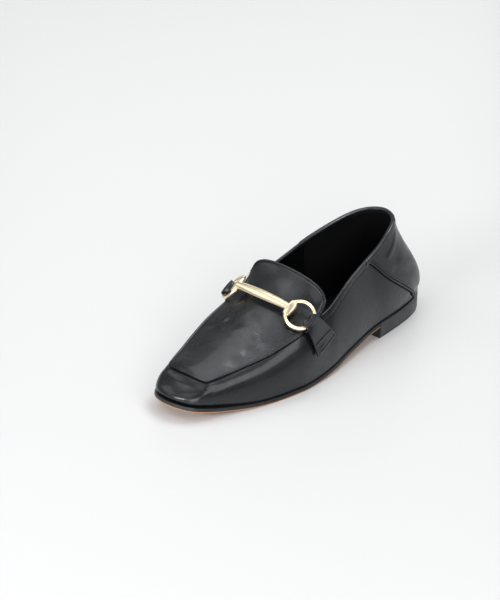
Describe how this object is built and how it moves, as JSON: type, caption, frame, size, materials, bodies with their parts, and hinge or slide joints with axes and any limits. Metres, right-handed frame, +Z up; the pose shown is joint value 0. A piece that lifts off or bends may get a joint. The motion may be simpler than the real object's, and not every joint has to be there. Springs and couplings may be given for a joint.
{
  "type": "bit loafer",
  "caption": "Low-heeled slip-on dress shoe for the left foot, with a moccasin apron, a tongue and a metal bit held by leather straps.",
  "frame": {"origin": "on the floor under the middle of the shoe's outer box", "axes": "+X towards the toe, +Y towards the outer side of the left foot, +Z up"},
  "size_m": [0.257, 0.0912, 0.0808],
  "materials": {
    "upper": "smooth, soft satin sheen",
    "lining": "matte",
    "sole": "matte",
    "heel": "matte",
    "gold": "polished"
  },
  "bodies": {
    "root": {"outsole": "sole", "heel": "heel", "insole": "lining", "upper": "upper", "apron_tongue": "upper", "heel_seam_outer": "upper", "heel_seam_inner": "upper", "strap_outer": "upper", "strap_inner": "upper", "bit": "gold", "ring_outer": "gold", "ring_inner": "gold"}
  },
  "joints": []
}
